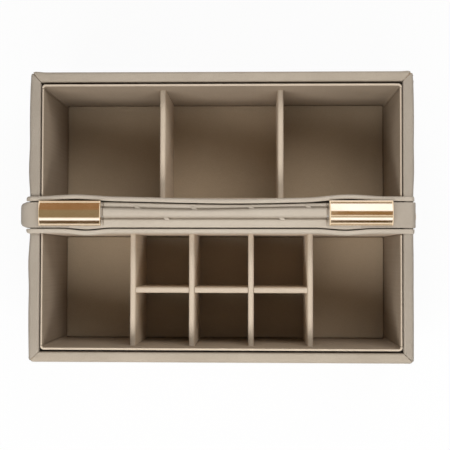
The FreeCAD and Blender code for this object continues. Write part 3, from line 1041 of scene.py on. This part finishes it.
# %% Places of the studs
stud_low, stud_high = corners("right_strap_studs")
strap_low, strap_high = corners("right_strap")
STRAP = 2.2
STRAP_GAP = 0.3
HEAD = 4.0
SHANK = 2.0
TIP_ROUND = 6.0
SLOT = SHANK + STRAP_GAP
strap_middle = (strap_low.y + strap_high.y) / 2
upper_stud = stud_high.z - HEAD
lower_stud = stud_low.z + HEAD


# %% Strap ends
STRAP_SLACK = 0.3
STRAP_EDGE = 0.7
STRAP_THINNING_REACH = 16
CROWN_ROWS = 15
CUT_OFF = 4


def strap_end(name, start, thinning, crown, corner, pushes):
    """A right strap end, from under its ferrule over the rim to its slotted tip.

    Thinning is how much thinner it is over the rim, crown how far it stands out there, and corner
    the radius that its two sides fall back by. It is drawn longer and cut off at its start.
    """
    low_y, high_y = strap_low.y + STRAP_SLACK, strap_high.y - STRAP_SLACK
    piece = new_block(
        name, (start - CUT_OFF, low_y, strap_high.z - STRAP), (BEND_X, high_y, strap_high.z)
    )
    edit(piece)
    rows = spread(start - CUT_OFF, BEND_X, 12)
    slice_at(0, rows)
    slice_at(1, spread(low_y, high_y, CROWN_ROWS))
    bulge([start - CUT_OFF, *rows], pushes, lambda middle: middle.y < low_y + STRAP_EDGE)
    pick("VERT", lambda middle, way: middle.x > BEND_X - 0.01 and middle.z > strap_high.z - 0.1)
    resize(z=1 - thinning / STRAP, about=(0, 0, strap_high.z - STRAP), reach=STRAP_THINNING_REACH)
    over_the_rim(strap_middle, strap_low.z)
    half_width = (high_y - low_y) / 2
    lines = [low_y, *spread(low_y, high_y, CROWN_ROWS), high_y]
    for row in lines:
        aside = max(0, abs(row - strap_middle) - half_width + corner)
        stand_out = crown - corner + math.sqrt(corner**2 - aside**2)
        for step in range(BEND_STEPS + 1):
            turn = math.pi / 2 * step / BEND_STEPS
            reach = RIM_ROUND + STRAP_GAP + STRAP - thinning
            spot = Vector((BEND_X + reach * math.sin(turn), row, BEND_Z + reach * math.cos(turn)))
            pick("VERT", lambda middle, way: (middle - spot).length < 0.05)
            shift(x=stand_out * math.sin(turn))
        pick("VERT", lambda middle, way: abs(middle.y - row) < 0.05 and middle.z < BEND_Z - 0.1
             and middle.x > strap_high.x - thinning - 0.1)
        shift(x=stand_out)
    for step in range(1, TAIL_ROWS + 1):
        level = BEND_Z + (strap_low.z - BEND_Z) * step / TAIL_ROWS
        pick("VERT", lambda middle, way: abs(middle.z - level) < 0.01
             and middle.x > strap_high.x - thinning - 0.1)
        resize(x=0.0001, about=(strap_high.x - thinning, 0, 0))
    for row in lines:
        aside = max(0, abs(row - strap_middle) - half_width + TIP_ROUND)
        pick("VERT", lambda middle, way: abs(middle.y - row) < 0.05
             and middle.z < strap_low.z + 0.1)
        shift(z=TIP_ROUND - math.sqrt(TIP_ROUND**2 - aside**2))
    done()
    soften(piece, STRAP_EDGE, 4)
    edit(piece)
    keep_behind((start, 0, 0), (-1, 0, 0))
    done()
    slot_bar = new_block(
        "slot", (half_x - 2, strap_middle - SLOT, strap_low.z + TIP_ROUND),
        (half_x + 6, strap_middle + SLOT, upper_stud + SLOT)
    )
    edit(slot_bar)
    pick("EDGE", runs_along(0))
    bevel(SLOT - 0.01, 6)
    done()
    modify(piece, "BOOLEAN", operation="DIFFERENCE", object=slot_bar, solver="EXACT")
    bpy.data.objects.remove(slot_bar)
    return piece


right_strap = strap_end("right_strap_leather", strap_low.x, 0.9, 0.0, 0, ((85, -1.2, 20),))
_, left_inner = corners("left_strap")
left_master = strap_end("left_master", -left_inner.x, 0.0, 3.9, 3.8, ((92, -1.3, 17),))
left_strap = mirrored(left_master, "left_strap_leather")
bpy.data.objects.remove(left_master)
# The strap ends take the darker copy of the strap leather, painted shade.
dress(right_strap, "handle", "strap_leatherette", "right_strap", finish=end_leatherette_painted_shade)
dress(left_strap, "handle", "strap_leatherette", "left_strap", finish=end_leatherette_painted_shade)

# %% [markdown]
# ## Grip
# Between the ferrules the strap has two soft flanges and a roll between them. Rows of edges are
# cut along the strap, lifted and lowered to a section, and rounded with a subdivision surface.

# %% Where the ferrules lie
# They have a little play on the strap, and their rolled ends reach a little further along it.
FERRULE_REARWARD = {"right": 0.9, "left": 0.6}
FERRULE_REACH = {"right": (1.1, 1.2), "left": (0.0, 1.6)}


def ferrule_box(side):
    """The lowest and highest corner of a ferrule as it is drawn."""
    low, high = corners(side + "_ferrule")
    low += Vector((-FERRULE_REACH[side][0], FERRULE_REARWARD[side], 0))
    high += Vector((FERRULE_REACH[side][1], FERRULE_REARWARD[side], 0))
    return low, high


# %% A helper that pinches the leather where it comes out of a ferrule
PINCH, PINCH_HALF = 2.0, 1.0
PINCH_FROM = -5


def pinch(top_z):
    """Cuts rows just outside both ferrules and lowers the middle ones."""
    for side, inwards in (("left", 1), ("right", -1)):
        low, high = ferrule_box(side)
        middle_x = (high.x if inwards > 0 else low.x) + inwards * PINCH_HALF
        slice_at(0, (middle_x - PINCH_HALF, middle_x, middle_x + PINCH_HALF))
        pick("VERT", lambda middle, way: abs(middle.x - middle_x) < 0.02 and middle.z > top_z
             and middle.y > PINCH_FROM)
        shift(z=-PINCH)


# %% The flat of the grip
# Each pair is a place across the strap and how far the leather drops there. The roll lies in the
# low part, between two grooves. What lies behind it follows its groove and the strap's edge.
FRONT_EDGE = -6
GROOVE_FOOT, GROOVE = 5.9, 6.3
grip_low, grip_high = corners("grip_strap")
SECTION = {
    -7.75: -1.3, -7.4: -0.6, -6.4: -0.2, -4.6: 0.0, -2.7: 0.0, -1.95: -0.5, -1.35: -1.5,
    -0.7: -1.5, GROOVE_FOOT: -1.1, GROOVE: -0.8, 6.75: -0.3, 7.3: 0.0, 8.2: -0.15, 9.2: -0.6,
    9.75: -1.4,
}
edge_low, edge_high = min(SECTION), max(SECTION)
grip_ends = grip_low.x - CUT_OFF, grip_high.x + CUT_OFF
grip = new_block(
    "grip_leather", (grip_ends[0], edge_low, grip_low.z), (grip_ends[1], edge_high, grip_high.z)
)
edit(grip)
slice_at(1, [y for y in SECTION if edge_low < y < edge_high])
for y, drop in SECTION.items():
    pick("VERT", lambda middle, way: abs(middle.y - y) < 0.01 and middle.z > grip_high.z - 0.01)
    shift(z=drop)
cuts = spread(*grip_ends, 66)
slice_at(0, cuts)
grip_rows = [*grip_ends, *cuts]
bulge(grip_rows, BULGES["spine_front_band"], lambda middle: middle.y < FRONT_EDGE)
for y in SECTION:
    if y >= GROOVE_FOOT:
        part = max(0, (y - GROOVE) / (edge_high - GROOVE))
        pushes = share_of(BOW, part), share_of(GROOVE_BOW, 1 - part)
        bulge(grip_rows, pushes, lambda middle: abs(middle.y - y) < 0.01)
pinch(grip_low.z + 0.3)
done()
modify(grip, "SUBSURF", levels=1, render_levels=1)
edit(grip)
keep_behind((grip_high.x, 0, 0), (1, 0, 0))
keep_behind((grip_low.x, 0, 0), (-1, 0, 0))
done()
dress(grip, "handle", "strap_leatherette", "grip_strap")

# %% The roll
# Its front edge stays straight, and its rear edge follows the groove.
roll_low, roll_high = corners("grip_roll")
ROLL_FRONT, ROLL_REAR = -0.75, 5.95
ROLL_WIDTH = ROLL_REAR - ROLL_FRONT
ROLL_SINK = 1.6
ROLL_SHOULDER = 2.6
roll = new_block(
    "grip_roll_leather",
    (roll_low.x, ROLL_FRONT, grip_high.z - ROLL_SINK), (roll_high.x, ROLL_REAR, roll_high.z),
)
edit(roll)
pick("EDGE", lambda middle, way: abs(way.x) > 0.9 and middle.z > roll_high.z - 0.01)
bevel(ROLL_SHOULDER, 7)
roll_rows = spread(roll_low.x, roll_high.x, 60)
slice_at(0, roll_rows)
pinch(grip_high.z - 1)
for place in (roll_low.x, *roll_rows, roll_high.x):
    pick("VERT", lambda middle, way: abs(middle.x - place) < 0.05)
    resize(y=1 + pushed(place, (GROOVE_BOW,)) / ROLL_WIDTH, about=(0, ROLL_FRONT, 0))
done()

# %% The stiff strip inside the roll
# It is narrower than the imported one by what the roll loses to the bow.
CORE_CORNER, CORE_EDGE = 1.0, 0.25
core_low, core_high = corners("handle_core")
core_high.y += GROOVE_BOW[1]
core = new_block("handle_core_strip", core_low, core_high)
edit(core)
pick("EDGE", runs_along(2))
bevel(CORE_CORNER, 4)
pick("EDGE", lambda middle, way: abs(way.z) < 0.01 and middle.z > core_high.z - 0.01)
bevel(CORE_EDGE, 2)
done()
dress(core, "handle", slots["handle_core"], "handle_core")

# %% Tacks on the roll
# The roll is caught down by small tacks of the same leather, in each groove.
TACKS = {GROOVE: (-57, -18, 21, 60), -1.3: (-37, 42)}
TACK_LIFT = 0.1
TACK_TURN = -0.45
TACK_SHAPE = (2.3, 1.35, 0.85)
tack_copies = []
for y, places in TACKS.items():
    for x in places:
        tack_y = y + pushed(x, (GROOVE_BOW,)) if y == GROOVE else y
        bpy.ops.object.select_all(action="DESELECT")
        bpy.ops.mesh.primitive_uv_sphere_add(
            segments=20, ring_count=10, radius=1 * MM, rotation=(0, 0, TACK_TURN),
            location=Vector((x, tack_y, grip_high.z + TACK_LIFT)) * MM, scale=TACK_SHAPE,
        )
        tack_copies.append(named("tack"))
unite(roll, *tack_copies)
dress(roll, "handle", "strap_leatherette", "grip_roll")

# %% [markdown]
# ## Ferrules
# A ferrule is a shallow crowned cover of polished metal. Its section is cut from a large
# cylinder, which gives an even curve for the reflections, and its edges are rounded.

# %% Two ferrules
FERRULE_SIDE = 1.8
FERRULE_EDGE = 1.1
FERRULE_WALL = 0.25
FERRULE_HOLLOW = 2.5
for side in ("right", "left"):
    low, high = ferrule_box(side)
    half = (high.y - low.y) / 2
    rise = high.z - low.z - FERRULE_SIDE
    crown = (half**2 + rise**2) / (2 * rise)
    middle_y = (low.y + high.y) / 2
    ferrule = new_bar(
        side + "_ferrule_gold", crown, low.x, high.x, middle_y, high.z - crown, 256
    )
    edit(ferrule)
    keep_behind((0, 0, low.z), (0, 0, -1))
    keep_behind((0, high.y, 0), (0, 1, 0))
    keep_behind((0, low.y, 0), (0, -1, 0))
    done()
    soften(ferrule, FERRULE_EDGE, 5)
    edit(ferrule)
    slice_at(0, (low.x + FERRULE_EDGE + 0.1, high.x - FERRULE_EDGE - 0.1))
    inner = 1 if side == "left" else -1
    pick("FACE", lambda middle, way: way.x * inner > 0.99 and abs(middle.z - high.z + 2) < 1.5)
    inset(FERRULE_WALL)
    extrude(x=-inner * FERRULE_HOLLOW)
    done()
    dress(ferrule, "handle", "polished_gold", side + "_ferrule", angle=60)

# %% [markdown]
# ## Studs
# Two studs on each end wall guide a strap. One is modelled with a softly rounded head, and copied.

# %% Four studs
# Each step of the dome is how far it goes in from the one before and how far it rises.
DOME = (0.9, 0.25), (1.4, 0.12)
HEAD_EDGE = 0.5
head_start = strap_high.x + STRAP_GAP
pattern = new_bar("pattern", HEAD, head_start, stud_high.x, strap_middle, upper_stud, 48)
edit(pattern)
pick("FACE", lambda middle, way: way.x > 0.9)
for inwards, rise in DOME:
    inset(inwards)
    shift(x=rise)
pick("FACE", lambda middle, way: way.x < -0.9)
inset(HEAD - SHANK)
extrude(x=stud_low.x - head_start)
pick("EDGE", lambda middle, way: middle.x > stud_high.x - 0.01
     and math.hypot(middle.y - strap_middle, middle.z - upper_stud) > HEAD - 0.1)
bevel(HEAD_EDGE, 3)
done()
for side in ("right", "left"):
    pair = copy_of(pattern, side + "_studs")
    lower = copy_of(pattern, "lower_stud")
    lower.location.z = (lower_stud - upper_stud) * MM
    settle(lower)
    unite(pair, lower)
    if side == "left":
        pair = mirrored(pair, "left_studs_turned")
        bpy.data.objects.remove(bpy.data.objects["left_studs"])
        pair.name = pair.data.name = "left_studs"
    dress(pair, "case", "polished_gold", side + "_strap_studs")
bpy.data.objects.remove(pattern)

# %% [markdown]
# ## Felt underneath
# A felt sheet covers the underside, cut a little short of the edge.

# %% The felt
FELT_CORNER, FELT_EDGE = 1.5, 0.35
felt_low, felt_high = corners("base_felt")
felt = new_block("base_felt_sheet", felt_low, felt_high)
edit(felt)
pick("EDGE", runs_along(2))
bevel(FELT_CORNER, 4)
pick("EDGE", lambda middle, way: middle.z < felt_low.z + 0.01 and abs(way.z) < 0.01)
bevel(FELT_EDGE, 2)
done()
dress(felt, "case", "base_felt", "base_felt")
